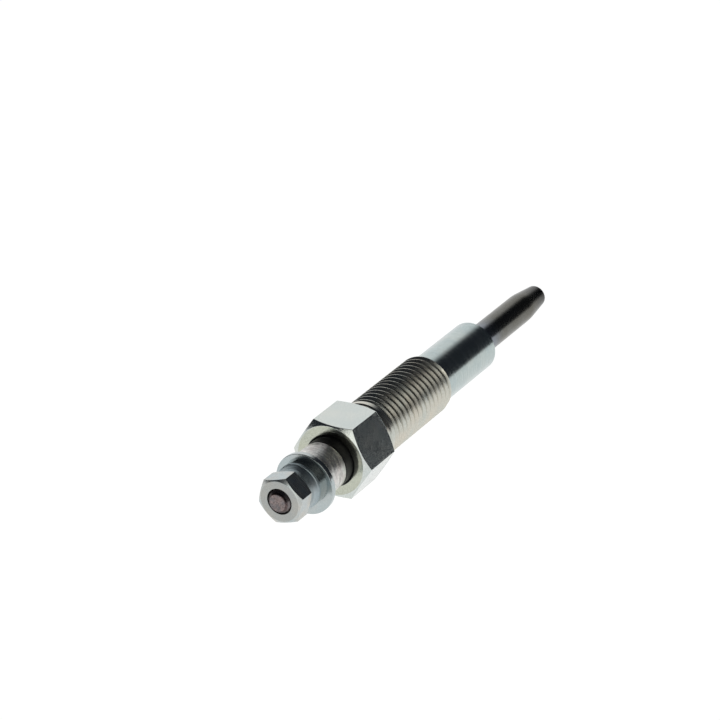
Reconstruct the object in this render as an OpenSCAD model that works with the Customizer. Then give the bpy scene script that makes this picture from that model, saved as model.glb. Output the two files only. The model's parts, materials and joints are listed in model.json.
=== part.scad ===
// Diesel glow plug with a screw terminal, lying at rest on a flat of its hexagon.
// The plug's axis runs along X, from the terminal at -X to the heated tip at +X,
// and dips by the small angle at which the hexagon and the barrel touch the ground.
// The origin is on the axis, where the full thread starts.

/* [Hexagon] */
// Size across the flats
hex_af = 12; // [11:0.5:17]
// Length of the hexagon, with both chamfers
hex_len = 8.4; // [7:0.1:14]
// Distance that the turned end faces stand inside the flats
hex_face_inset = 0.2; // [0.05:0.05:0.5]

/* [Thread] */
// Major diameter
thread_d = 10; // [9.4:0.1:11]
// Length of the full thread, with its lead
thread_len = 19.9; // [14:0.1:30]
// Length of the chamfer that leads the thread in
thread_lead = 0.9; // [0.3:0.1:1.5]
// Length of the plain neck between hexagon and thread
neck_len = 2.2; // [1:0.1:3]
// Depth of the plain neck below the thread's crests
neck_inset = 0.2; // [0.15:0.05:0.7]

/* [Barrel] */
// Diameter of the plain barrel
barrel_d = 8.5; // [7.4:0.1:9]
// Length of the barrel
barrel_len = 15.8; // [8:0.1:30]
// Width of the sealing chamfer on the barrel's end
seat_chamfer = 0.4; // [0.2:0.1:0.8]

/* [Heater tube] */
// Diameter of the tube
sheath_d = 5; // [4.6:0.1:5.8]
// Wall of the tube
sheath_wall = 0.65; // [0.4:0.05:0.8]
// Length of the tube that stands out of the barrel
sheath_reach = 22.8; // [18:0.1:40]
// Length of the tube that is pressed into the barrel
sheath_grip = 15; // [10:0.5:24]
// Diameter at the end of the taper
tip_d = 3.75; // [3.4:0.05:4.4]
// Length of the taper
tip_taper = 6.1; // [3:0.1:10]
// Rounding of the closed end
tip_round = 0.7; // [0.3:0.1:1.2]
// Thickness of the closed end
tip_wall = 1; // [0.6:0.1:2]

/* [Coils] */
// Diameter of the wire
wire_d = 0.4; // [0.25:0.05:0.5]
// Powder between the coils and the tube's wall
coil_gap = 0.35; // [0.2:0.05:0.5]
// Length of the heating coil
heating_len = 14; // [9:0.5:18]
// Turns of the heating coil
heating_turns = 15; // [8:1:20]
// Length of the control coil
control_len = 13; // [8:0.5:18]
// Turns of the control coil
control_turns = 13; // [8:1:18]

/* [Centre rod] */
// Thread diameter of the terminal stud
stud_d = 4; // [3.6:0.1:4.6]
// Diameter of the plain rod in the housing
rod_d = 3.6; // [3:0.1:4]
// Diameter of the rod in the tube
core_d = 2.6; // [2.4:0.1:3]
// Length of the spigot that carries the control coil
spigot_len = 2.2; // [1:0.1:4]
// Length of stud that stands out of the nut
stud_reach = 0.6; // [0.4:0.1:3]
// Diameter of the flat end of the stud
stud_end_d = 2.9; // [2:0.1:3.4]
// Length of the chamfered end of the stud
stud_chamfer = 0.8; // [0.4:0.1:1.2]

/* [Bush and seals] */
// Diameter of the insulating bush
bush_d = 8; // [7:0.1:8.4]
// Length of bush that stands out of the hexagon
bush_stand = 1.8; // [1:0.1:5]
// Depth of the bush's seat in the hexagon
bush_seat = 3; // [1.5:0.1:5]
// Length of the bush's neck, which presses on the ring
bush_neck_len = 1.6; // [0.8:0.1:3]
// Section diameter of the sealing ring
o_ring_section = 1.2; // [1:0.1:1.5]
// Bevel of the bore's mouth
mouth_bevel = 0.25; // [0.1:0.05:0.4]
// Length of the plug in the tube's open end
seal_len = 3; // [1.5:0.5:6]
// Air space between rod and housing
rod_space = 0.9; // [0.4:0.1:1]

/* [Terminal] */
// Diameter of the round collar
collar_d = 8; // [6.5:0.1:9]
// Length of the round collar
collar_len = 5.4; // [3:0.1:8]
// Chamfer of the round collar
collar_chamfer = 0.25; // [0.1:0.05:0.5]
// Diameter of the plain washer
washer_d = 10; // [8.5:0.1:12]
// Thickness of the plain washer
washer_t = 0.9; // [0.5:0.1:1.6]
// Distance off centre at which the loose washer is clamped
washer_shift = 0.3; // [0:0.05:0.4]
// Direction of that, as an angle from straight down
washer_side = -48; // [-180:1:180]
// Diameter of the spring washer
lock_d = 7.4; // [6.5:0.1:8.4]
// Thickness of the spring washer
lock_t = 1; // [0.6:0.1:1.6]
// Width of the spring washer's split
lock_split = 0.5; // [0.2:0.1:1]
// Nut size across the flats
nut_af = 7; // [6.5:0.5:9]
// Length of the nut's hexagon
nut_hex_len = 3.4; // [2.2:0.1:5]
// Diameter of the rim of the nut's flared collar
nut_collar_d = 7.5; // [6.8:0.1:8.4]
// Length of the nut's collar, with its flare and rim
nut_collar_len = 2.4; // [1.8:0.1:4]
// Length of the flare that leads out to the rim
nut_flare_len = 0.8; // [0.4:0.1:1]
// Thickness of the rim of the nut's flared collar
nut_rim = 0.5; // [0.2:0.1:0.7]
// Countersink of the nut's thread
nut_mouth = 0.25; // [0.1:0.05:0.5]
// Angle at which the tightened nut stands against the hexagon
nut_turn = -18; // [-30:1:30]

/* [Fits] */
// Gap between parts that slide over each other
slide_gap = 0.05; // [0.02:0.01:0.1]
// Gap left for the thickness of a pressed or sealed joint
press_gap = 0.01; // [0.005:0.005:0.03]

/* [Hidden] */
$fn = 96;

// Standard angle of the chamfer on a hexagon's ends
hex_chamfer_angle = 30;
// Sides of the wire's section, and rings of points in a turn of wire
wire_sides = 8;
turn_rings = 12;
// Points on a rounded profile, for a quarter turn
arc_steps = 8;
// Amount by which a cutting solid reaches past the face that it opens
over = 1;

// Radii
thread_r = thread_d / 2;
neck_r = thread_r - neck_inset;
barrel_r = barrel_d / 2;
sheath_r = sheath_d / 2;
sheath_in = sheath_r - sheath_wall;
tip_r = tip_d / 2;
tip_in = tip_r - sheath_wall;
stud_r = stud_d / 2;
rod_r = rod_d / 2;
core_r = core_d / 2;
wire_r = wire_d / 2;
coil_r = sheath_in - coil_gap - wire_r;
// Turn at which the heating coil goes on, past the weld between the two wires
joint_turn = control_turns + press_gap / (2 * PI * coil_r);
bush_r = bush_d / 2;
nut_face_r = nut_af / 2 - hex_face_inset;
nut_rim_r = nut_collar_d / 2;
washer_hole_r = stud_r + washer_shift + slide_gap;
bush_bore = bush_r + slide_gap;
seal_bore = rod_r + o_ring_section + 2 * press_gap;
rod_bore = rod_r + rod_space;

// Stations along the axis, from the terminal to the tip
hex_back = -neck_len;
hex_front = hex_back - hex_len;
bush_front = hex_front - bush_stand;
collar_front = bush_front - collar_len;
washer_front = collar_front - washer_t;
lock_front = washer_front - lock_t;
nut_flare_back = lock_front - nut_rim;
nut_hex_back = lock_front - nut_collar_len;
nut_front = nut_hex_back - nut_hex_len;
stud_end = nut_front - stud_reach;
bush_floor = hex_front + bush_seat;
seal_front = bush_floor + bush_neck_len;
seal_back = seal_front + o_ring_section;
barrel_end = thread_len + barrel_len;
sheath_open = barrel_end - sheath_grip;
tip_end = barrel_end + sheath_reach;
taper_start = tip_end - tip_taper;
tip_inner = tip_end - tip_wall;
coil_end = tip_inner - wire_r - press_gap;
coil_joint = coil_end - heating_len;
coil_start = coil_joint - control_len;
core_end = coil_start - wire_r - press_gap;
fill_core_end = coil_end - heating_len / heating_turns - wire_r - press_gap;
rod_end = coil_start + spigot_len;

// The plug tips over the end of the lower flat until the next part of it touches the ground
flat_end = hex_back - hex_face_inset * tan(hex_chamfer_angle);
touch_points = [
    [thread_r, thread_len - thread_lead],
    [barrel_r, barrel_end - seat_chamfer],
    [sheath_r, taper_start],
    [tip_r, tip_end - tip_round]
];
rest_tilt = min([for (p = touch_points) atan((hex_af / 2 - p[0]) / (p[1] - flat_end))]);

// Lays a part that is built along Z down along X, with its +X side underneath
module lying() {
    rotate([0, 90 + rest_tilt, 0])
        children();
}

// Solid of revolution about the axis, from points of radius and station
module turned(profile) {
    rotate_extrude()
        polygon(profile);
}

// Plain round bar or hole along the axis between two stations
module bar(radius, from, to) {
    translate([0, 0, from])
        cylinder(r = radius, h = to - from);
}

// Quarter round of a profile about a centre, from one angle to another
function rounded(centre, radius, from, to) = [
    for (i = [0 : arc_steps])
        let (angle = from + (to - from) * i / arc_steps)
            centre + radius * [cos(angle), sin(angle)]
];

// Hexagon bar with a flat on its +X side, turned to a chamfer at both ends
module hexagon(af, front, back) {
    corner_r = af / 2 / cos(30);
    face_r = af / 2 - hex_face_inset;
    chamfer = (corner_r - face_r) * tan(hex_chamfer_angle);
    intersection() {
        translate([0, 0, front])
            rotate(30)
                cylinder(r = corner_r, h = back - front, $fn = 6);
        turned([
            [0, front],
            [face_r, front],
            [corner_r, front + chamfer],
            [corner_r, back - chamfer],
            [face_r, back],
            [0, back]
        ]);
    }
}

// Inside radius of the tube at a station
function tube_in(z) =
    z < taper_start ? sheath_in : sheath_in - (sheath_in - tip_in) * (z - taper_start) / tip_taper;

// Middle radius of the coils at a station: they follow the tube's wall
function coil_at(z) = tube_in(z) - coil_gap - wire_r;

// Radii that clear the wire on its inner side, where its straight pieces cut closest to the axis,
// and on its outer side
function coil_inside(z) = (coil_at(z + wire_r) - wire_r) * cos(180 / turn_rings) - press_gap;
function coil_outside(z) = coil_at(z - wire_r) + wire_r + press_gap;

// Point of a coil's middle line, at a share of its length
// The last turn of a coil that is closed runs in to the axis
function coil_point(share, from, to, turns, start_turn, closed) =
    let (
        z = from + (to - from) * share,
        left = turns * (1 - share),
        radius = coil_at(z) * (closed ? min(1, left) : 1),
        angle = 360 * (start_turn + turns * share)
    )
    [radius * cos(angle), radius * sin(angle), z];

function unit(v) = v / norm(v);

// Ring of points round the wire at a share of the coil's length
function wire_ring(share, step, from, to, turns, start_turn, closed) =
    let (
        here = coil_point(share, from, to, turns, start_turn, closed),
        ahead = coil_point(share + step, from, to, turns, start_turn, closed),
        behind = coil_point(share - step, from, to, turns, start_turn, closed),
        along = unit(ahead - behind),
        angle = 360 * (start_turn + turns * share),
        side = unit(cross(along, [cos(angle), sin(angle), 0])),
        out = cross(side, along)
    )
    [
        for (i = [0 : wire_sides - 1])
            let (a = 360 * i / wire_sides)
                here + wire_r * (cos(a) * out + sin(a) * side)
    ];

// Round wire wound as a coil between two stations
module wound_wire(from, to, turns, start_turn, closed) {
    rings = ceil(turns * turn_rings);
    step = 0.1 / rings;
    points = [
        for (i = [0 : rings])
            each wire_ring(i / rings, step, from, to, turns, start_turn, closed)
    ];
    walls = [
        for (i = [0 : rings - 1])
            for (j = [0 : wire_sides - 1])
                let (
                    a = i * wire_sides + j,
                    b = i * wire_sides + (j + 1) % wire_sides
                )
                [a, b, b + wire_sides, a + wire_sides]
    ];
    first = [for (j = [wire_sides - 1 : -1 : 0]) j];
    last = [for (j = [0 : wire_sides - 1]) rings * wire_sides + j];
    polyhedron(points = points, faces = concat([first], walls, [last]), convexity = 10);
}

module housing() {
    color("gainsboro")
        lying()
            difference() {
                union() {
                    hexagon(hex_af, hex_front, hex_back);
                    turned([
                        [0, bush_floor],
                        [neck_r, bush_floor],
                        [neck_r, neck_r - thread_r],
                        [thread_r, 0],
                        [thread_r, thread_len - thread_lead],
                        [barrel_r, thread_len],
                        [barrel_r, barrel_end - seat_chamfer],
                        [barrel_r - seat_chamfer, barrel_end],
                        [0, barrel_end]
                    ]);
                }
                turned([
                    [0, hex_front - over],
                    [bush_bore + mouth_bevel + over, hex_front - over],
                    [bush_bore, hex_front + mouth_bevel],
                    [bush_bore, bush_floor],
                    [seal_bore, bush_floor],
                    [seal_bore, seal_back],
                    [rod_bore, seal_back],
                    [rod_bore, sheath_open],
                    [sheath_r + press_gap, sheath_open],
                    [sheath_r + press_gap, barrel_end + over],
                    [0, barrel_end + over]
                ]);
            }
}

module heater_sheath() {
    color("dimgray")
        lying()
            difference() {
                turned(concat(
                    [[0, sheath_open], [sheath_r, sheath_open], [sheath_r, taper_start]],
                    rounded([tip_r - tip_round, tip_end - tip_round], tip_round, 0, 90),
                    [[0, tip_end]]
                ));
                turned([
                    [0, sheath_open - over],
                    [sheath_in, sheath_open - over],
                    [sheath_in, taper_start],
                    [tube_in(tip_inner), tip_inner],
                    [0, tip_inner]
                ]);
            }
}

module heating_coil() {
    color("goldenrod")
        lying()
            wound_wire(coil_joint, coil_end, heating_turns, joint_turn, true);
}

module control_coil() {
    color("darkgoldenrod")
        lying()
            wound_wire(coil_start, coil_joint, control_turns, 0, false);
}

module insulating_powder() {
    color("ivory")
        lying() {
            difference() {
                turned([
                    [0, sheath_open + seal_len],
                    [sheath_in - press_gap, sheath_open + seal_len],
                    [sheath_in - press_gap, taper_start],
                    [tube_in(tip_inner) - press_gap, tip_inner - press_gap],
                    [0, tip_inner - press_gap]
                ]);
                bar(core_r + press_gap, sheath_open, core_end + wire_r);
                turned([
                    [0, core_end],
                    [coil_outside(core_end), core_end],
                    [coil_outside(taper_start), taper_start],
                    [coil_outside(tip_inner), tip_inner],
                    [0, tip_inner]
                ]);
            }
            turned([
                [0, rod_end + press_gap],
                [coil_inside(rod_end), rod_end + press_gap],
                [coil_inside(taper_start), taper_start],
                [coil_inside(fill_core_end), fill_core_end],
                [0, fill_core_end]
            ]);
        }
}

module sheath_seal() {
    color("black")
        lying()
            difference() {
                bar(sheath_in - press_gap, sheath_open, sheath_open + seal_len - press_gap);
                bar(core_r + press_gap, sheath_open - over, sheath_open + seal_len + over);
            }
}

module centre_rod() {
    color("rosybrown")
        lying()
            turned([
                [0, stud_end],
                [stud_end_d / 2, stud_end],
                [stud_r, stud_end + stud_chamfer],
                [stud_r, bush_floor],
                [rod_r, bush_floor + stud_r - rod_r],
                [rod_r, sheath_open - rod_space],
                [core_r, sheath_open - rod_space + rod_r - core_r],
                [core_r, core_end],
                [coil_inside(core_end), core_end],
                [coil_inside(core_end), rod_end],
                [0, rod_end]
            ]);
}

module o_ring() {
    color("darkslategray")
        lying()
            translate([0, 0, (seal_front + seal_back) / 2])
                rotate_extrude()
                    translate([rod_r + press_gap + o_ring_section / 2, 0])
                        circle(d = o_ring_section - press_gap);
}

module insulating_bush() {
    color("black")
        lying()
            difference() {
                turned([
                    [0, bush_front],
                    [bush_r, bush_front],
                    [bush_r, bush_floor],
                    [seal_bore - slide_gap, bush_floor],
                    [seal_bore - slide_gap, seal_front],
                    [0, seal_front]
                ]);
                bar(stud_r + slide_gap, bush_front - over, seal_front + over);
            }
}

module terminal_collar() {
    color("silver")
        lying()
            difference() {
                turned([
                    [0, collar_front],
                    [collar_d / 2 - collar_chamfer, collar_front],
                    [collar_d / 2, collar_front + collar_chamfer],
                    [collar_d / 2, bush_front - collar_chamfer],
                    [collar_d / 2 - collar_chamfer, bush_front],
                    [0, bush_front]
                ]);
                bar(stud_r + press_gap, collar_front - over, bush_front + over);
            }
}

module plain_washer() {
    color("lightgray")
        lying()
            rotate(washer_side)
                translate([washer_shift, 0, 0])
                    difference() {
                        bar(washer_d / 2, washer_front, collar_front);
                        bar(washer_hole_r, washer_front - over, collar_front + over);
                    }
}

module spring_washer() {
    color("lightslategray")
        lying()
            difference() {
                bar(lock_d / 2, lock_front, washer_front);
                bar(stud_r + 2 * slide_gap, lock_front - over, washer_front + over);
                translate([0, 0, (lock_front + washer_front) / 2])
                    rotate([0, 0, 90])
                        rotate([20, 0, 0])
                            translate([0, -lock_split / 2, -lock_t])
                                cube([lock_d, lock_split, 2 * lock_t]);
            }
}

module terminal_nut() {
    color("whitesmoke")
        lying()
            rotate(nut_turn)
                difference() {
                    union() {
                        hexagon(nut_af, nut_front, nut_hex_back);
                        turned([
                            [0, nut_hex_back - nut_hex_len / 2],
                            [nut_face_r, nut_hex_back - nut_hex_len / 2],
                            [nut_face_r, nut_flare_back - nut_flare_len],
                            [nut_rim_r, nut_flare_back],
                            [nut_rim_r, lock_front],
                            [0, lock_front]
                        ]);
                    }
                    turned([
                        [0, nut_front - over],
                        [stud_r + nut_mouth + over, nut_front - over],
                        [stud_r, nut_front + nut_mouth],
                        [0, nut_front + nut_mouth]
                    ]);
                    bar(stud_r + press_gap, nut_front - over, lock_front + over);
                }
}

housing();
heater_sheath();
heating_coil();
control_coil();
insulating_powder();
sheath_seal();
centre_rod();
o_ring();
insulating_bush();
terminal_collar();
plain_washer();
spring_washer();
terminal_nut();
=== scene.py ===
import json
from math import atan2, ceil, cos, hypot, pi, radians, sin, tan

import bmesh
import bpy
from mathutils import Euler, Matrix, Vector


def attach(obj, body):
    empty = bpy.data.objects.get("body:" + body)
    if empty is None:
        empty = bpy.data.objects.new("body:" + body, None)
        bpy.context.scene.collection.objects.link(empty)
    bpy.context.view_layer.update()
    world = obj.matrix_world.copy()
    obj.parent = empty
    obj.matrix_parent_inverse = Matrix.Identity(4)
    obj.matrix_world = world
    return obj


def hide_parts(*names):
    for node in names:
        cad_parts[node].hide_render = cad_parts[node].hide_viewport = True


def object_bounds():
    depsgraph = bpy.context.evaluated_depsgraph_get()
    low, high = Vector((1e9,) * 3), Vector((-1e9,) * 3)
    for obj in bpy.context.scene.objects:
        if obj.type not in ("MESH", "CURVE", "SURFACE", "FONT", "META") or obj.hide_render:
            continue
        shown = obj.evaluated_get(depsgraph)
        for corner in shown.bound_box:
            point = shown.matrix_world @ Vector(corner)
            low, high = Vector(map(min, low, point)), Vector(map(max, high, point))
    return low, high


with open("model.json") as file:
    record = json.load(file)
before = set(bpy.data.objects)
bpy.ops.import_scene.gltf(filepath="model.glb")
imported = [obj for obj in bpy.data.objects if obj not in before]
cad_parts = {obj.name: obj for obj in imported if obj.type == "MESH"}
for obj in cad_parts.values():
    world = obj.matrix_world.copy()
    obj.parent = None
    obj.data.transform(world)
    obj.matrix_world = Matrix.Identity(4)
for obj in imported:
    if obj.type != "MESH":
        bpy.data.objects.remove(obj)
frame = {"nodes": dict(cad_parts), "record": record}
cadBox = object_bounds()
print("frame:", len(frame["nodes"]), "nodes")

# Measures: the plug is stood upright, terminal down, and measured in mm along and out from its axis
mm = 0.001
near = 0.004  # corners closer than this share a radius or a height
mounts = {mount["name"]: mount for mount in frame["record"]["mounts"]}
axis = Vector(mounts["head_thread"]["axis"])
lieAngle = atan2(axis.x, axis.z)  # turn about Y that lays an upright piece down along the plug
standUp = Matrix.Rotation(-lieAngle, 3, "Y")


def places(node):
    return [standUp @ vertex.co / mm for vertex in frame["nodes"][node].data.vertices]


def corners(node):  # a node's corners as (radius, height), from the terminal to the tip and inwards
    found = {(round(hypot(place.x, place.y), 3), round(place.z, 3)) for place in places(node)}
    return sorted(found, key=lambda corner: (corner[1], -corner[0]))


def radii(node, height=None):
    return sorted(r for r, h in corners(node) if height is None or abs(h - height) < near)


def heights(node, radius=None):
    return sorted(h for r, h in corners(node) if radius is None or abs(r - radius) < near)


# Modelling: every piece is shaped upright in mm, then laid down along the plug
past = 1  # how far a cutting tool reaches past the piece
threadForm = {"depth": 0.6134, "crest": 0.125, "flankAngle": 30}  # shares of the pitch, degrees


def clearSelection():
    if bpy.context.mode != "OBJECT":
        bpy.ops.object.mode_set(mode="OBJECT")
    bpy.ops.object.select_all(action="DESELECT")


def makeActive(piece):
    clearSelection()
    piece.select_set(True)
    bpy.context.view_layer.objects.active = piece


def pickPoints(piece, test):  # selects points in edit mode by their place
    mesh = bmesh.from_edit_mesh(piece.data)
    for point in mesh.verts:
        point.select = test(point.co)
    mesh.select_flush_mode()
    bmesh.update_edit_mesh(piece.data)


def drawOutline(name, outline, edge=0, sharp=()):  # joins (radius, height) points, rounds corners
    clearSelection()
    bpy.ops.mesh.primitive_plane_add(size=1)
    piece = bpy.context.active_object
    piece.name = name
    piece.data.name = name
    bpy.ops.object.mode_set(mode="EDIT")
    bpy.ops.mesh.merge(type="CENTER")  # one point is left, to draw with
    pen = Vector()
    for number, (radius, height) in enumerate(outline):
        step = Vector((radius, 0, height)) - pen
        if number == 0:
            bpy.ops.transform.translate(value=step)
        else:
            bpy.ops.mesh.extrude_region_move(TRANSFORM_OT_translate={"value": step})
        pen += step
    bpy.ops.mesh.select_all(action="SELECT")
    bpy.ops.mesh.remove_doubles(threshold=near)
    if edge:
        ends = [] if outline[0] == outline[-1] else [outline[0], outline[-1]]
        kept = [Vector((r, 0, h)) for r, h in [*ends, *sharp]]
        pickPoints(piece, lambda place: all((place - corner).length > near for corner in kept))
        bpy.ops.mesh.bevel(offset=edge, segments=3, affect="VERTICES")
    bpy.ops.mesh.select_all(action="SELECT")
    return piece


def turn(name, outline, edge=0, sharp=(), sides=128):  # an outline off the axis closes as a ring
    ring = outline[0][0] > 0
    piece = drawOutline(name, outline + outline[:1] if ring else outline, edge, sharp)
    bpy.ops.mesh.spin(steps=sides, angle=2 * pi, center=(0, 0, 0), axis=(0, 0, 1))
    bpy.ops.mesh.select_all(action="SELECT")
    bpy.ops.mesh.remove_doubles(threshold=near / 10)
    bpy.ops.mesh.normals_make_consistent(inside=False)
    bpy.ops.object.mode_set(mode="OBJECT")
    return piece


def applyModifier(piece, kind, **settings):
    makeActive(piece)
    modifier = piece.modifiers.new(kind.lower(), kind)
    for key, value in settings.items():
        setattr(modifier, key, value)
    bpy.ops.object.modifier_apply(modifier=modifier.name)


def carve(piece, tool, operation):
    applyModifier(piece, "BOOLEAN", operation=operation, object=tool, solver="EXACT")
    bpy.data.objects.remove(tool)
    bpy.ops.object.mode_set(mode="EDIT")
    bpy.ops.mesh.select_all(action="SELECT")
    bpy.ops.mesh.remove_doubles(threshold=near / 4)
    bpy.ops.mesh.dissolve_degenerate(threshold=near / 4)
    bpy.ops.object.mode_set(mode="OBJECT")


def quarterTurn(steps):
    return [radians(90 / steps * step) for step in range(steps + 1)]


def softenEdges(piece, width, sharpest=25):
    edges = {"limit_method": "ANGLE", "angle_limit": radians(sharpest), "miter_outer": "MITER_ARC"}
    applyModifier(piece, "BEVEL", width=width, segments=2, **edges)


# A hexagon with both ends turned to a 30 degree chamfer
def hexBar(name, corner, faceRadius, front, back, turned, edge):
    wide = corner + past
    rise = (wide - faceRadius) * tan(radians(30))
    middle = (0, 0, (front + back) / 2)
    clearSelection()
    bpy.ops.mesh.primitive_cylinder_add(
        vertices=6,
        radius=corner,
        depth=back - front + 2 * past,
        location=middle,
        rotation=(0, 0, turned),
    )
    piece = bpy.context.active_object
    piece.name = name
    piece.data.name = name
    bpy.ops.object.transform_apply(location=True, rotation=True, scale=True)
    ends = [
        (0, front),
        (faceRadius, front),
        (wide, front + rise),
        (wide, back - rise),
        (faceRadius, back),
        (0, back),
    ]
    carve(piece, turn("hexEnds", ends), "INTERSECT")
    softenEdges(piece, edge)
    return piece


# One groove, drawn once and wound up the axis
def windThread(name, radius, pitch, front, back, edge, sides=96):
    depth = threadForm["depth"] * pitch
    flank = depth * tan(radians(threadForm["flankAngle"]))
    crest = threadForm["crest"] * pitch
    root = pitch - crest - 2 * flank
    groove = [
        (radius - depth, 0),
        (radius - depth, root / 2),
        (radius, root / 2 + flank),
        (radius, root / 2 + flank + crest),
        (radius - depth, pitch - root / 2),
        (radius - depth, pitch),
    ]
    piece = drawOutline(name, groove, edge)
    bpy.ops.transform.translate(value=(0, 0, front - 2 * pitch))
    bpy.ops.object.mode_set(mode="OBJECT")
    turns = ceil((back - front) / pitch) + 4
    winding = {"axis": "Z", "angle": 2 * pi, "screw_offset": pitch, "iterations": turns}
    applyModifier(piece, "SCREW", **winding, steps=sides, render_steps=sides)
    bpy.ops.object.mode_set(mode="EDIT")
    bpy.ops.mesh.select_all(action="SELECT")
    bpy.ops.mesh.remove_doubles(threshold=near / 10)
    bpy.ops.mesh.bisect(plane_co=(0, 0, front), plane_no=(0, 0, 1), use_fill=True, clear_inner=True)
    bpy.ops.mesh.select_all(action="SELECT")
    bpy.ops.mesh.bisect(plane_co=(0, 0, back), plane_no=(0, 0, 1), use_fill=True, clear_outer=True)
    bpy.ops.mesh.select_all(action="SELECT")
    bpy.ops.mesh.normals_make_consistent(inside=False)
    bpy.ops.object.mode_set(mode="OBJECT")
    return piece


def paintZone(piece, material, test):  # gives the faces that pass the test a material of their own
    makeActive(piece)
    piece.data.materials.append(material)
    piece.active_material_index = len(piece.data.materials) - 1
    bpy.ops.object.mode_set(mode="EDIT")
    mesh = bmesh.from_edit_mesh(piece.data)
    for face in mesh.faces:
        face.select_set(test(face.calc_center_median(), face.normal))
    bmesh.update_edit_mesh(piece.data)
    bpy.ops.object.material_slot_assign()
    bpy.ops.object.mode_set(mode="OBJECT")


def frontFace(front):  # test for the flat end that faces the terminal
    return lambda centre, normal: normal.z < -0.99 and centre.z < front + 1


def beyond(height):  # test for all that lies further towards the tip
    return lambda centre, normal: centre.z > height


def finishPiece(piece, node, material=None, smooth=14):
    makeActive(piece)
    piece.rotation_euler = (0, lieAngle, 0)
    piece.scale = (mm, mm, mm)
    bpy.ops.object.transform_apply(location=True, rotation=True, scale=True)
    bpy.ops.object.shade_smooth_by_angle(angle=radians(smooth))
    applyModifier(piece, "WEIGHTED_NORMAL", mode="FACE_AREA", keep_sharp=True)
    if material:
        piece.data.materials.clear()
        piece.data.materials.append(material)
    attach(piece, "root")
    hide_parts(node)
    print("piece:", piece.name, len(piece.data.polygons), "faces")


# Materials: patterns are laid out on the upright plug in mm, so that they follow its axis
bands = {  # the part of a noise that runs from none to full
    "drift": (0.35, 0.65),
    "shade": (0.36, 0.64),
    "polish": (0.3, 0.7),
    "filler": (0.45, 0.75),
}


def addNode(tree, kind, inputs=None, **settings):
    made = tree.nodes.new("ShaderNode" + kind)
    for key, value in settings.items():
        setattr(made, key, value)
    for key, value in (inputs or {}).items():
        if isinstance(value, bpy.types.NodeSocket):
            tree.links.new(value, made.inputs[key])
        else:
            made.inputs[key].default_value = value
    return made


def startMaterial(name):
    material = bpy.data.materials.new(name)
    material.use_nodes = True
    tree = material.node_tree
    shader = tree.nodes["Principled BSDF"]
    place = addNode(tree, "TexCoord").outputs["Object"]
    upright = {"Vector": place, "Rotation": (0, -lieAngle, 0), "Scale": (1 / mm, 1 / mm, 1 / mm)}
    return material, tree, shader, addNode(tree, "Mapping", upright).outputs["Vector"]


def noise(tree, where, scale, detail=2.0, stretch=None, rough=0.5):
    if stretch:
        where = addNode(tree, "Mapping", {"Vector": where, "Scale": stretch}).outputs["Vector"]
    return addNode(
        tree, "TexNoise", {"Vector": where, "Scale": scale, "Detail": detail, "Roughness": rough}
    ).outputs["Fac"]


def remap(tree, value, fromMin, fromMax, toMin, toMax, smooth=False):
    kind = "SMOOTHSTEP" if smooth else "LINEAR"
    limits = {"Value": value, "From Min": fromMin, "From Max": fromMax, "To Min": toMin, "To Max": toMax}
    return addNode(tree, "MapRange", limits, interpolation_type=kind).outputs["Result"]


def mixColour(tree, share, first, second, kind="MIX"):
    made = addNode(tree, "Mix", data_type="RGBA", blend_type=kind)
    for socket, value in ((made.inputs[0], share), (made.inputs[6], first), (made.inputs[7], second)):
        if isinstance(value, bpy.types.NodeSocket):
            tree.links.new(value, socket)
        else:
            socket.default_value = value if isinstance(value, float) else (*value, 1.0)
    return made.outputs[2]


def bump(tree, height, depth, after=None):  # depth in mm
    inputs = {"Height": height, "Strength": 1.0, "Distance": depth * mm}
    if after:
        inputs["Normal"] = after
    return addNode(tree, "Bump", inputs).outputs["Normal"]


def connect(tree, shader, sockets):
    for key, value in sockets.items():
        if isinstance(value, bpy.types.NodeSocket):
            tree.links.new(value, shader.inputs[key])
        else:
            shader.inputs[key].default_value = value


def shaded(tree, colour, value, darkest):  # darkens a colour where a pattern is low
    shade = remap(tree, value, *bands["shade"], darkest, 1.0)
    grey = addNode(tree, "CombineColor", {0: shade, 1: shade, 2: shade}).outputs[0]
    return mixColour(tree, 1.0, colour, grey, "MULTIPLY")


def platedFinish(name, look, tints=()):  # bright plating: drifting tint, fine grain, turned rings
    material, tree, shader, where = startMaterial(name)
    drift = remap(tree, noise(tree, where, look["driftScale"], 3.0), *bands["drift"], 0.0, 1.0)
    colour = mixColour(tree, drift, look["cool"], look["warm"])
    height = addNode(tree, "SeparateXYZ", {0: where}).outputs["Z"]
    for tint, start, end in tints:  # from none at the start height to full at the end height
        low, high = min(start, end), max(start, end)
        share = remap(tree, height, low, high, float(start > end), float(end > start), True)
        colour = mixColour(tree, share, colour, tint)
    grain = noise(tree, where, look["grainScale"], 3.0)
    rings = noise(tree, where, look["ringScale"], 3.0, stretch=look["ringStretch"], rough=0.6)
    colour = shaded(tree, colour, grain, look["grainShade"])
    if "ringShade" in look:
        colour = shaded(tree, colour, rings, look["ringShade"])
    if "rootTint" in look:  # dirt and painted shade at the bottom of a thread: darker towards the roots
        flat = addNode(tree, "VectorMath", {0: where, 1: (1, 1, 0)}, operation="MULTIPLY").outputs[0]
        radius = addNode(tree, "VectorMath", {0: flat}, operation="LENGTH").outputs["Value"]
        share = remap(tree, radius, *look["rootSpan"], 1.0, 0.0, True)
        colour = mixColour(tree, share, colour, look["rootTint"])
    polish = remap(tree, rings, *bands["polish"], *look["roughness"])
    surface = bump(tree, grain, look["grainDepth"])
    surface = bump(tree, rings, look["ringDepth"], surface)
    connect(tree, shader, {"Base Color": colour, "Metallic": 1.0, "Roughness": polish, "Normal": surface})
    return material


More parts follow.
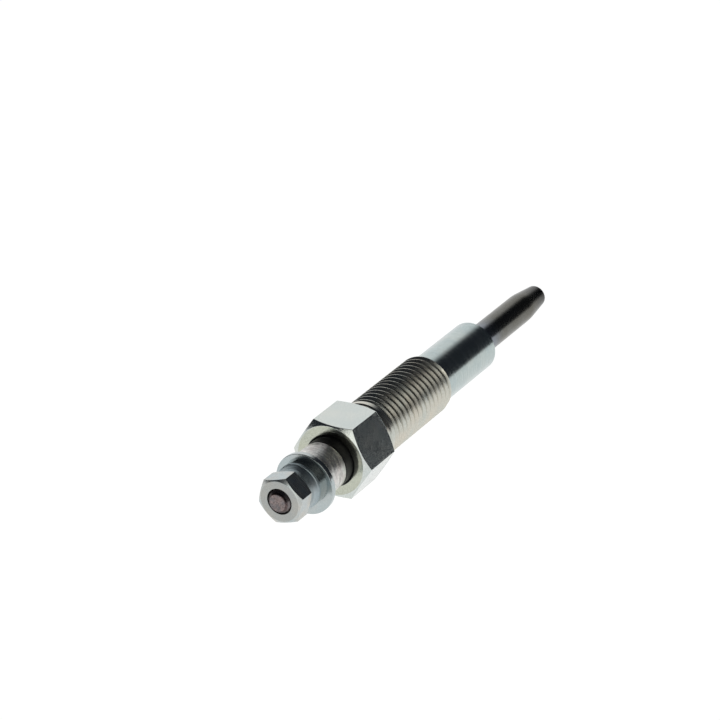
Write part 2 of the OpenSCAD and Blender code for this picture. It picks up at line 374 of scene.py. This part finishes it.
# Housing: hexagon, neck, rolled thread and barrel, bored through
housingLook = {
    "pitch": 1.25,
    "threadEdge": 0.075,
    "runOut": 0.8,  # plain land between the neck and the first groove
    "hexEdge": 0.05,
    "mouthRound": 0.35,
    "coreInset": 0.15,  # core under the thread, in from the barrel
    "overlap": 0.4,  # how far joined pieces reach into each other
    "threadRoom": 0.4,  # the trimming tool's height over the thread
}
hexLook = {
    "cool": (0.62, 0.67, 0.65),
    "warm": (0.67, 0.70, 0.66),
    "driftScale": 0.25,
    "grainScale": 6.0,
    "grainShade": 0.8,
    "grainDepth": 0.022,
    "ringScale": 3.0,
    "ringStretch": (1.0, 1.0, 0.5),
    "ringDepth": 0.002,
    "roughness": (0.12, 0.17),
}
faceLook = {**hexLook, "cool": (0.50, 0.53, 0.46), "warm": (0.55, 0.57, 0.47), "grainDepth": 0.006}
threadLook = {
    "cool": (0.57, 0.59, 0.54),
    "warm": (0.63, 0.60, 0.52),
    "driftScale": 0.25,
    "grainScale": 3.5,
    "grainShade": 0.9,
    "grainDepth": 0.002,
    "ringScale": 4.0,
    "ringStretch": (0.05, 0.05, 1.0),
    "ringDepth": 0.001,
    "roughness": (0.24, 0.32),
    # painted shade and dirt in the thread's roots
    "rootTint": (0.22, 0.205, 0.14),
    "rootSpan": (4.35, 4.66),
}
barrelLook = {
    "cool": (0.46, 0.54, 0.54),
    "warm": (0.53, 0.59, 0.57),
    "driftScale": 0.25,
    "grainScale": 3.5,
    "grainShade": 0.92,
    "grainDepth": 0.003,
    "ringScale": 4.0,
    "ringStretch": (0.05, 0.05, 1.0),
    "ringShade": 0.88,
    "ringDepth": 0.001,
    "roughness": (0.18, 0.24),
}


def makeHousing(look):
    front, back = heights("housing")[0], heights("housing")[-1]
    cornerRadius = max(radii("housing"))
    faceRadius = radii("housing", front)[-1]
    hexBack = heights("housing", faceRadius)[-1]
    neckRadius = radii("housing", hexBack)[0]
    threadRadius = mounts["head_thread"]["dims"]["r_mm"]
    threadFront, threadBack = heights("housing", threadRadius)[0], heights("housing", threadRadius)[-1]
    barrelRadius = mounts["barrel"]["dims"]["r_mm"]
    barrelFront, barrelBack = heights("housing", barrelRadius)[0], heights("housing", barrelRadius)[-1]
    seatRadius = radii("housing", back)[-1]
    leadFront = threadFront - (threadRadius - neckRadius)
    coreRadius = barrelRadius - look["coreInset"]
    overlap = look["overlap"]

    def inBore(corner):  # nearer the axis than any outer wall
        radius, height = corner
        return radius < (neckRadius - overlap / 2 if height < 0 else barrelRadius - 1)

    body = hexBar("housing_body", cornerRadius, faceRadius, front, hexBack, 0, look["hexEdge"])
    grooveFront = threadFront + look["runOut"]
    shank = turn("shank", [
        (0, hexBack - 4 * overlap),
        (neckRadius, hexBack - 4 * overlap),
        (neckRadius, leadFront),
        (threadRadius, threadFront),
        (threadRadius, grooveFront),
        (coreRadius, grooveFront + (threadRadius - coreRadius) / 2),
        (coreRadius, barrelFront - overlap / 4),
        (barrelRadius, barrelFront),
        (barrelRadius, barrelBack),
        (seatRadius, back),
        (0, back),
    ])
    carve(body, shank, "UNION")
    bore = [corner for corner in corners("housing") if inBore(corner)]
    mouth = look["mouthRound"]
    lip = [(bore[1][0] + mouth * (1 - sin(a)), front + mouth * (1 - cos(a))) for a in quarterTurn(6)]
    cutter = [(0, front - past), (bore[1][0] + mouth, front - past), *lip, *bore[2:-1]]
    carve(body, turn("bore", cutter + [(bore[-1][0], back + past), (0, back + past)]), "DIFFERENCE")

    threadEnds = (leadFront - 2 * past, barrelFront + 2 * past)
    thread = windThread("thread", threadRadius, look["pitch"], *threadEnds, look["threadEdge"])
    room = look["threadRoom"]
    inner = coreRadius - overlap
    leadSlope = (threadRadius - barrelRadius) / (barrelFront - threadBack)
    limit = turn("threadLimit", [
        (inner, grooveFront - overlap),
        (threadRadius - overlap / 4, grooveFront - overlap),
        (threadRadius - overlap / 4, grooveFront - overlap / 4),
        (threadRadius + room, grooveFront + room),
        (threadRadius + room, threadBack - room / leadSlope),
        (barrelRadius - overlap / 4, barrelFront + overlap / 4 / leadSlope),
        (barrelRadius - overlap / 4, barrelFront + overlap),
        (inner, barrelFront + overlap),
    ])
    carve(thread, limit, "INTERSECT")
    carve(body, thread, "UNION")
    body.data.materials.clear()
    paintZone(body, platedFinish("hexZinc", hexLook), lambda centre, normal: True)
    paintZone(body, platedFinish("faceZinc", faceLook), frontFace(front))
    paintZone(body, platedFinish("threadZinc", threadLook), beyond(hexBack + near))
    paintZone(body, platedFinish("barrelZinc", barrelLook), beyond(barrelFront))
    return body


finishPiece(makeHousing(housingLook), "housing")

# Heater sheath: drawn tube, closed and swaged at its tip
sheathLook = {
    "tipRound": 0.7,
    "swageRound": 0.8,
    "cool": (0.155, 0.155, 0.14),
    "warm": (0.13, 0.125, 0.105),
    "driftScale": 0.3,
    "grainScale": 2.0,
    "grainShade": 0.85,
    "grainDepth": 0.0004,
    "ringScale": 1.5,
    "ringStretch": (1.0, 1.0, 0.04),
    "ringDepth": 0.0004,
    "roughness": (0.22, 0.28),
    "blue": (0.26, 0.29, 0.34),
    "blueReach": 7.0,
    "soot": (0.038, 0.038, 0.036),
    "sootReach": 7.5,
}


def makeSheath(look):
    front, back = heights("heater_sheath")[0], heights("heater_sheath")[-1]
    outside, inside = radii("heater_sheath", front)[-1], radii("heater_sheath", front)[0]
    taperFront = heights("heater_sheath", outside)[-1]
    tipRadius = radii("heater_sheath", back)[-1] + look["tipRound"]
    floorHeight = heights("insulating_powder")[-1]
    floorRadius = max(radii("insulating_powder", floorHeight))
    wall = (outside - tipRadius) / (back - taperFront)
    ease = look["swageRound"]
    swage = [
        (outside, taperFront - ease),
        (outside - wall * ease / 4, taperFront),
        (outside - wall * ease, taperFront + ease),
    ]
    bend = look["tipRound"]
    tip = [(tipRadius - bend * (1 - cos(a)), back - bend * (1 - sin(a))) for a in quarterTurn(9)]
    return turn("heater_tube", [
        (0, floorHeight),
        (floorRadius, floorHeight),
        (inside, taperFront),
        (inside, front),
        (outside, front),
        *swage,
        *tip,
        (0, back),
    ])


def heatTints(look):  # blued where it leaves the barrel, dark at the tip
    barrelEnd = heights("housing")[-1]
    tipEnd = heights("heater_sheath")[-1]
    return [
        (look["blue"], barrelEnd + look["blueReach"], barrelEnd),
        (look["soot"], tipEnd - look["sootReach"], tipEnd),
    ]


sheathFinish = platedFinish("sheathAlloy", sheathLook, heatTints(sheathLook))
finishPiece(makeSheath(sheathLook), "heater_sheath", sheathFinish)

# Centre rod: chamfered stud, then the rod down to the coils
rodLook = {
    "edge": 0.1,
    "cool": (0.21, 0.195, 0.20),
    "warm": (0.31, 0.25, 0.24),
    "driftScale": 1.2,
    "grainScale": 5.0,
    "grainShade": 0.55,
    "grainDepth": 0.012,
    "ringScale": 5.0,
    "ringStretch": (0.6, 0.6, 1.0),
    "ringDepth": 0.006,
    "roughness": (0.25, 0.4),
}
# a darker copy of the rod's finish for the stud's chamfer: painted shade of the thread grooves, which are
# not modelled
conePaintedShadeLook = {**rodLook, "cool": (0.10, 0.08, 0.085), "warm": (0.15, 0.11, 0.105)}


def makeRod(look):
    outline = corners("centre_rod")
    end, coneBack = outline[0][1], outline[1][1]
    rod = turn("centre_rod_stud", [(0, end), *outline, (0, outline[-1][1])], look["edge"])
    rod.data.materials.clear()
    paintZone(rod, platedFinish("rodSteel", rodLook), lambda centre, normal: True)
    conePaintedShadeSteel = platedFinish("rodCone", conePaintedShadeLook)
    # painted shade on the chamfer between the stud's end and the rod
    paintZone(rod, conePaintedShadeSteel, lambda centre, normal: end + near < centre.z < coneBack)
    return rod


finishPiece(makeRod(rodLook), "centre_rod")


# Washers, collar and bush: turned rings
def makeRing(name, node, edge):
    front, back = heights(node)[0], heights(node)[-1]
    inside, outside = radii(node)[0], radii(node)[-1]
    return turn(name, [(inside, front), (outside, front), (outside, back), (inside, back)], edge)


washerLook = {
    "edge": 0.12,
    "cool": (0.44, 0.50, 0.51),
    "warm": (0.49, 0.52, 0.51),
    "driftScale": 0.3,
    "grainScale": 4.0,
    "grainShade": 0.92,
    "grainDepth": 0.002,
    "ringScale": 4.0,
    "ringStretch": (0.05, 0.05, 1.0),
    "ringDepth": 0.001,
    "roughness": (0.16, 0.22),
}


def makeWasher(look):  # sits a little to one side on the stud
    rim = places("plain_washer")
    centre = Vector([(min(p[i] for p in rim) + max(p[i] for p in rim)) / 2 for i in range(2)] + [0])
    reach = [(place - centre).xy.length for place in rim]
    inside, outside = min(reach), max(reach)
    front, back = heights("plain_washer")[0], heights("plain_washer")[-1]
    section = [(inside, front), (outside, front), (outside, back), (inside, back)]
    piece = turn("flat_washer", section, look["edge"])
    bpy.ops.object.mode_set(mode="EDIT")
    bpy.ops.mesh.select_all(action="SELECT")
    bpy.ops.transform.translate(value=centre)
    bpy.ops.object.mode_set(mode="OBJECT")
    return piece


washerPlate = platedFinish("washerPlate", washerLook)
finishPiece(makeWasher(washerLook), "plain_washer", washerPlate)

lockLook = {"edge": 0.1, "split": 0.5, "slant": 20}


def makeLockWasher(look):
    front, back = heights("spring_washer")[0], heights("spring_washer")[-1]
    piece = makeRing("split_washer", "spring_washer", 0)
    reach = max(radii("spring_washer"))
    clearSelection()
    middle = (0, reach / 2 + past, (front + back) / 2)
    width = (look["split"], reach + 2 * past, 4 * past)
    bpy.ops.mesh.primitive_cube_add(size=1, location=middle, scale=width)
    gap = bpy.context.active_object
    gap.rotation_euler = (0, radians(-look["slant"]), 0)
    bpy.ops.object.transform_apply(location=True, rotation=True, scale=True)
    carve(piece, gap, "DIFFERENCE")
    softenEdges(piece, look["edge"])
    return piece


finishPiece(makeLockWasher(lockLook), "spring_washer", washerPlate)

collarLook = {
    "edge": 0.08,
    "cool": (0.94, 0.95, 0.92),
    "warm": (0.88, 0.83, 0.80),
    "driftScale": 0.6,
    "grainScale": 2.5,
    "grainShade": 0.8,
    "grainDepth": 0.008,
    "ringScale": 2.0,
    "ringStretch": (0.15, 0.15, 1.0),
    "ringShade": 0.6,
    "ringDepth": 0.12,
    "roughness": (0.28, 0.42),
}


def makeCollar(look):
    outline = corners("terminal_collar")
    inside = outline[-1][0]
    outer = [c for c in outline if c[0] > inside + 1]
    section = [(inside, outline[0][1]), *outer, (inside, outline[-1][1])]
    return turn("clamp_collar", section, look["edge"])


collarPlate = platedFinish("collarPlate", collarLook)
finishPiece(makeCollar(collarLook), "terminal_collar", collarPlate)

bushLook = {
    "edge": 0.12,
    "colour": (0.006, 0.006, 0.006),
    "pale": (0.014, 0.013, 0.012),
    "grainScale": 4.0,
    "grainDepth": 0.01,
    "roughness": (0.35, 0.55),
}


def resinFinish(name, look):  # moulded resin: near black, with fine filler showing
    material, tree, shader, where = startMaterial(name)
    grain = noise(tree, where, look["grainScale"], 4.0)
    share = remap(tree, grain, *bands["filler"], 0.0, 1.0)
    colour = mixColour(tree, share, look["colour"], look["pale"])
    polish = remap(tree, grain, *bands["polish"], *look["roughness"])
    surface = bump(tree, grain, look["grainDepth"])
    connect(tree, shader, {"Base Color": colour, "Roughness": polish, "Normal": surface})
    return material


def makeBush(look):
    front, back = heights("insulating_bush")[0], heights("insulating_bush")[-1]
    outside, inside = radii("insulating_bush", front)[-1], radii("insulating_bush", front)[0]
    shoulder = heights("insulating_bush", outside)[-1]
    neck = radii("insulating_bush", back)[-1]
    section = [
        (inside, front),
        (outside, front),
        (outside, shoulder),
        (neck, shoulder),
        (neck, back),
        (inside, back),
    ]
    sharp = [(neck, shoulder)]  # this inner corner sits on the housing's edge
    return turn("resin_bush", section, look["edge"], sharp)


finishPiece(makeBush(bushLook), "insulating_bush", resinFinish("bushResin", bushLook))

nutLook = {
    "edge": 0.17,
    "rimEdge": 0.04,
    "rimLip": 0.15,
    "mouthDepth": 0.6,
    "mouthTight": 0.12,
    "flareInset": 0.02,
    "cool": (0.46, 0.53, 0.55),
    "warm": (0.54, 0.53, 0.49),
    "driftScale": 0.4,
    "grainScale": 4.0,
    "grainShade": 0.9,
    "grainDepth": 0.003,
    "ringScale": 4.0,
    "ringStretch": (0.1, 0.1, 1.0),
    "ringDepth": 0.002,
    "roughness": (0.24, 0.34),
}
nutFaceLook = {**nutLook, "cool": (0.39, 0.41, 0.40), "warm": (0.43, 0.43, 0.40)}
flangeLook = {
    **nutLook,
    "cool": (0.37, 0.45, 0.48),
    "warm": (0.42, 0.47, 0.48),
    "ringDepth": 0.05,
    "roughness": (0.4, 0.5),
}


def makeNut(look):
    front, back = heights("terminal_nut")[0], heights("terminal_nut")[-1]
    cornerRadius = max(radii("terminal_nut"))
    corner = max(places("terminal_nut"), key=lambda place: hypot(place.x, place.y))
    turned = atan2(corner.y, corner.x) - pi / 2
    faceRadius = radii("terminal_nut", front)[-1]
    flareFront = heights("terminal_nut", faceRadius)[-1]
    hexBack = [height for height in heights("terminal_nut", faceRadius) if height > front + near][0]
    rimRadius = radii("terminal_nut", back)[-1]
    rimFront = heights("terminal_nut", rimRadius)[0]
    bore = radii("terminal_nut", back)[0]
    mouthRadius = radii("terminal_nut", front)[0] - look["mouthTight"]
    flareRadius = faceRadius - look["flareInset"]
    nut = hexBar("flange_nut", cornerRadius, faceRadius, front, hexBack, turned, look["edge"])
    flare = turn("flare", [
        (0, front + past),
        (flareRadius, front + past),
        (flareRadius, flareFront),
        (rimRadius - look["rimLip"], rimFront),
        (rimRadius, rimFront + look["rimLip"] / 3),
        (rimRadius, back),
        (0, back),
    ], look["rimEdge"])
    carve(nut, flare, "UNION")
    hole = turn("hole", [
        (0, front - past),
        (mouthRadius, front - past),
        (mouthRadius, front + look["mouthDepth"]),
        (bore, front + look["mouthDepth"] + mouthRadius - bore),
        (bore, back + past),
        (0, back + past),
    ])
    carve(nut, hole, "DIFFERENCE")
    nut.data.materials.clear()
    paintZone(nut, platedFinish("nutPlate", nutLook), lambda centre, normal: True)
    paintZone(nut, platedFinish("nutFace", nutFaceLook), frontFace(front))
    paintZone(nut, platedFinish("nutFlange", flangeLook), beyond(hexBack))
    return nut


finishPiece(makeNut(nutLook), "terminal_nut")

# Pieces inside the plug keep their shape and get their own finish
rubberLook = {"grainScale": 3.0, "grainDepth": 0.01, "roughness": (0.5, 0.7)}
innerLooks = {
    "o_ring": {**rubberLook, "colour": (0.02, 0.02, 0.02), "pale": (0.05, 0.05, 0.05)},
    "sheath_seal": {**rubberLook, "colour": (0.03, 0.03, 0.035), "pale": (0.06, 0.06, 0.06)},
    "insulating_powder": {
        "colour": (0.75, 0.73, 0.68),
        "pale": (0.85, 0.84, 0.80),
        "grainScale": 6.0,
        "grainDepth": 0.04,
        "roughness": (0.8, 0.95),
    },
}


def coatNode(node, material):
    materials = frame["nodes"][node].data.materials
    materials.clear()
    materials.append(material)


for node, look in innerLooks.items():
    coatNode(node, resinFinish(node + "Finish", look))

coilLook = {
    "cool": (0.42, 0.36, 0.28),
    "warm": (0.50, 0.38, 0.24),
    "driftScale": 0.5,
    "grainScale": 5.0,
    "grainShade": 0.8,
    "grainDepth": 0.003,
    "ringScale": 4.0,
    "ringStretch": (1.0, 1.0, 1.0),
    "ringDepth": 0.002,
    "roughness": (0.3, 0.45),
}
coilFinish = platedFinish("coilWire", coilLook)
for node in ("heating_coil", "control_coil"):
    coatNode(node, coilFinish)
print("inner pieces finished")

# Studio: white floor and backdrop, a soft light by the camera, the rest of the room dark
studio = {
    "floorSize": 4.0,
    "floorGlow": 1.0,
    "floorColour": (0.16, 0.16, 0.16),
    "roomColour": (0.018, 0.021, 0.027),
    "lights": [  # bearing from +X towards +Y, elevation, full and faded half-angles, colour
        {"bearing": 40, "elevation": 12, "full": 22, "faded": 42, "colour": (1.0, 1.0, 1.0)},
        {"bearing": 190, "elevation": 12, "full": 13, "faded": 25, "colour": (1.4, 1.37, 1.28)},
        {"bearing": 285, "elevation": 36, "full": 22, "faded": 38, "colour": (0.08, 0.08, 0.078)},
    ],
}


def direction(bearing, elevation):
    return Vector((
        cos(radians(elevation)) * cos(radians(bearing)),
        cos(radians(elevation)) * sin(radians(bearing)),
        sin(radians(elevation)),
    ))


def lightStudio(look):
    world = bpy.data.worlds.new("studio")
    bpy.context.scene.world = world
    world.use_nodes = True
    tree = world.node_tree
    tree.nodes.clear()
    where = addNode(tree, "TexCoord").outputs["Generated"]
    red, green, blue = look["roomColour"]
    glow = addNode(tree, "CombineXYZ", {"X": red, "Y": green, "Z": blue}).outputs[0]
    for light in look["lights"]:
        centre = direction(light["bearing"], light["elevation"])
        aimed = {0: where, 1: centre}
        facing = addNode(tree, "VectorMath", aimed, operation="DOT_PRODUCT").outputs["Value"]
        faded = cos(radians(light["faded"]))
        full = cos(radians(light["full"]))
        share = remap(tree, facing, faded, full, 0.0, 1.0, True)
        added = {0: share, 1: light["colour"], 2: glow}
        glow = addNode(tree, "VectorMath", added, operation="MULTIPLY_ADD").outputs[0]
    room = addNode(tree, "Background", {"Color": glow, "Strength": 1.0})
    white = addNode(tree, "Background", {"Color": (1, 1, 1, 1), "Strength": 1.0})
    seen = addNode(tree, "LightPath").outputs["Is Camera Ray"]
    both = addNode(tree, "MixShader", {0: seen, 1: room.outputs[0], 2: white.outputs[0]})
    addNode(tree, "OutputWorld", {"Surface": both.outputs[0]})


def layFloor(look):
    clearSelection()
    bpy.ops.mesh.primitive_plane_add(size=look["floorSize"], location=(0, 0, cadBox[0][2]))
    floor = bpy.context.active_object
    floor.name = "floor"
    material = bpy.data.materials.new("floorPaper")
    material.use_nodes = True
    shader = material.node_tree.nodes["Principled BSDF"]
    connect(material.node_tree, shader, {
        "Base Color": (*look["floorColour"], 1),
        "Roughness": 1.0,
        "Specular IOR Level": 0.0,
        "Emission Color": (1, 1, 1, 1),
        "Emission Strength": look["floorGlow"],
    })
    floor.data.materials.append(material)


lightStudio(studio)
layFloor(studio)
bpy.context.scene.view_settings.view_transform = "Standard"
print("studio lit")

# Camera: the photograph's view, from above the terminal end
cameraLook = {
    "aim": (-1.970, -0.380, 14.006),
    "distance": 450.0,
    "bearing": 30.434,
    "dip": 29.064,
    "roll": -0.627,
    "lens": 147.442,
    "sensor": 36.0,
    "clipStart": 0.01,
}


def placeCamera(look):
    camera = bpy.data.objects.new("camera", bpy.data.cameras.new("camera"))
    bpy.context.scene.collection.objects.link(camera)
    camera.data.lens = look["lens"]
    camera.data.sensor_width = look["sensor"]
    camera.data.clip_start = look["clipStart"]
    ahead = direction(look["bearing"], -look["dip"])
    facing = Euler((radians(90 - look["dip"]), 0, radians(look["bearing"] - 90))).to_matrix()
    facing = facing @ Matrix.Rotation(radians(look["roll"]), 3, "Z")
    camera.location = (Vector(look["aim"]) - ahead * look["distance"]) * mm
    camera.rotation_euler = facing.to_euler()
    bpy.context.scene.camera = camera


placeCamera(cameraLook)
